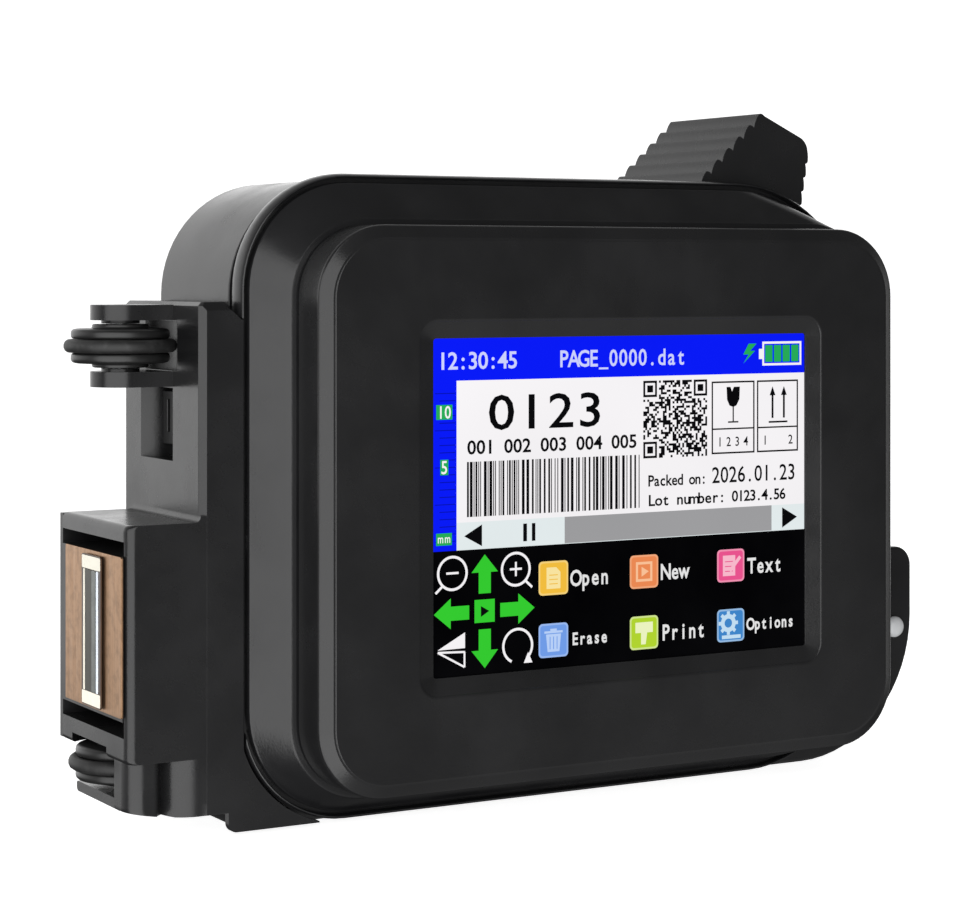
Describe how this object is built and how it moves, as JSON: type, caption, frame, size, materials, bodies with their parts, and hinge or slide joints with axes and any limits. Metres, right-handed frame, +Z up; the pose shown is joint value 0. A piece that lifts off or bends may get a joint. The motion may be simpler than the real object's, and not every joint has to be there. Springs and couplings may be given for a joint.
{
  "type": "handheld date code inkjet printer",
  "caption": "Handheld date code inkjet printer: black case with colour touch screen, side print head with nozzle plate, guide rollers, ridged lock lever and slide-out cartridge.",
  "frame": {"origin": "centre of the bounding box at the height of the flat base", "axes": "+Z up, the screen faces -Y, the print head faces -X"},
  "size_m": [0.1576, 0.0466, 0.1141],
  "materials": {
    "black_abs": "fine satin moulded grain",
    "panel_abs": "satin moulded",
    "head_abs": "satin moulded",
    "touch_glass": "polished",
    "lcd_grey": "satin",
    "roller_nylon": "satin",
    "ring_rubber": "matte",
    "steel": "satin",
    "cartridge_plastic": "satin",
    "nozzle_copper": "satin copper laminate",
    "nozzle_gold": "polished gold",
    "circuit_board": "solder mask",
    "lamp_lens": "polished",
    "button_rubber": "matte",
    "print_button_red": "satin"
  },
  "bodies": {
    "printer": {"front_panel": "panel_abs", "touch_glass": "touch_glass", "lcd_module": "lcd_grey", "front_shell": "black_abs", "rear_housing": "black_abs", "head_block": "head_abs", "photo_sensor": "roller_nylon", "upper_axle": "steel", "lower_axle": "steel", "lever_pin": "steel", "usb_socket": "steel", "dc_socket": "button_rubber", "main_board": "circuit_board", "buzzer": "button_rubber", "case_screw_1": "steel", "case_screw_2": "steel", "case_screw_3": "steel", "case_screw_4": "steel"},
    "upper_roller": {"upper_wheel": "roller_nylon", "upper_ring": "ring_rubber"},
    "lower_roller": {"lower_wheel": "roller_nylon", "lower_ring": "ring_rubber"},
    "lock_lever": {"lock_lever": "head_abs"},
    "cartridge_clamp": {"cartridge_clamp": "roller_nylon"},
    "cartridge": {"ink_cartridge": "cartridge_plastic", "nozzle_plate": "nozzle_copper", "nozzle_strip": "nozzle_gold"},
    "battery": {"battery_pack": "black_abs", "battery_lamp": "lamp_lens"},
    "print_button": {"print_button": "print_button_red"},
    "power_button": {"power_button": "button_rubber"}
  },
  "joints": [
    {"name": "upper_roller_spin", "type": "hinge", "parent": "printer", "child": "upper_roller", "pos_m": [-0.07, 0.00625, 0.0751], "axis": [0, 0, 1], "continuous": true},
    {"name": "lower_roller_spin", "type": "hinge", "parent": "printer", "child": "lower_roller", "pos_m": [-0.0692, 0.00625, 0.0103], "axis": [0, 0, 1], "continuous": true},
    {"name": "lock_lever_rock", "type": "hinge", "parent": "printer", "child": "lock_lever", "pos_m": [0.0402, 0.00825, 0.077], "axis": [0, 1, 0], "range_deg": [0, 20]},
    {"name": "clamp_slide", "type": "slide", "parent": "printer", "child": "cartridge_clamp", "axis": [1, 0, 0], "range_m": [0, 0.003]},
    {"name": "cartridge_out", "type": "slide", "parent": "printer", "child": "cartridge", "axis": [0, 1, 0], "range_m": [0, 0.05]},
    {"name": "battery_out", "type": "slide", "parent": "printer", "child": "battery", "axis": [1, 0, 0], "range_m": [0, 0.06]},
    {"name": "print_button_press", "type": "slide", "parent": "printer", "child": "print_button", "axis": [-1, 0, 0], "range_m": [0, 0.0012], "stiffness_N_per_m": 600},
    {"name": "power_button_press", "type": "slide", "parent": "printer", "child": "power_button", "axis": [-1, 0, 0], "range_m": [0, 0.0008], "stiffness_N_per_m": 500}
  ],
  "couplings": [
    {"joint": "clamp_slide", "follows": "lock_lever_rock", "m_per_rad": 0.0085}
  ]
}
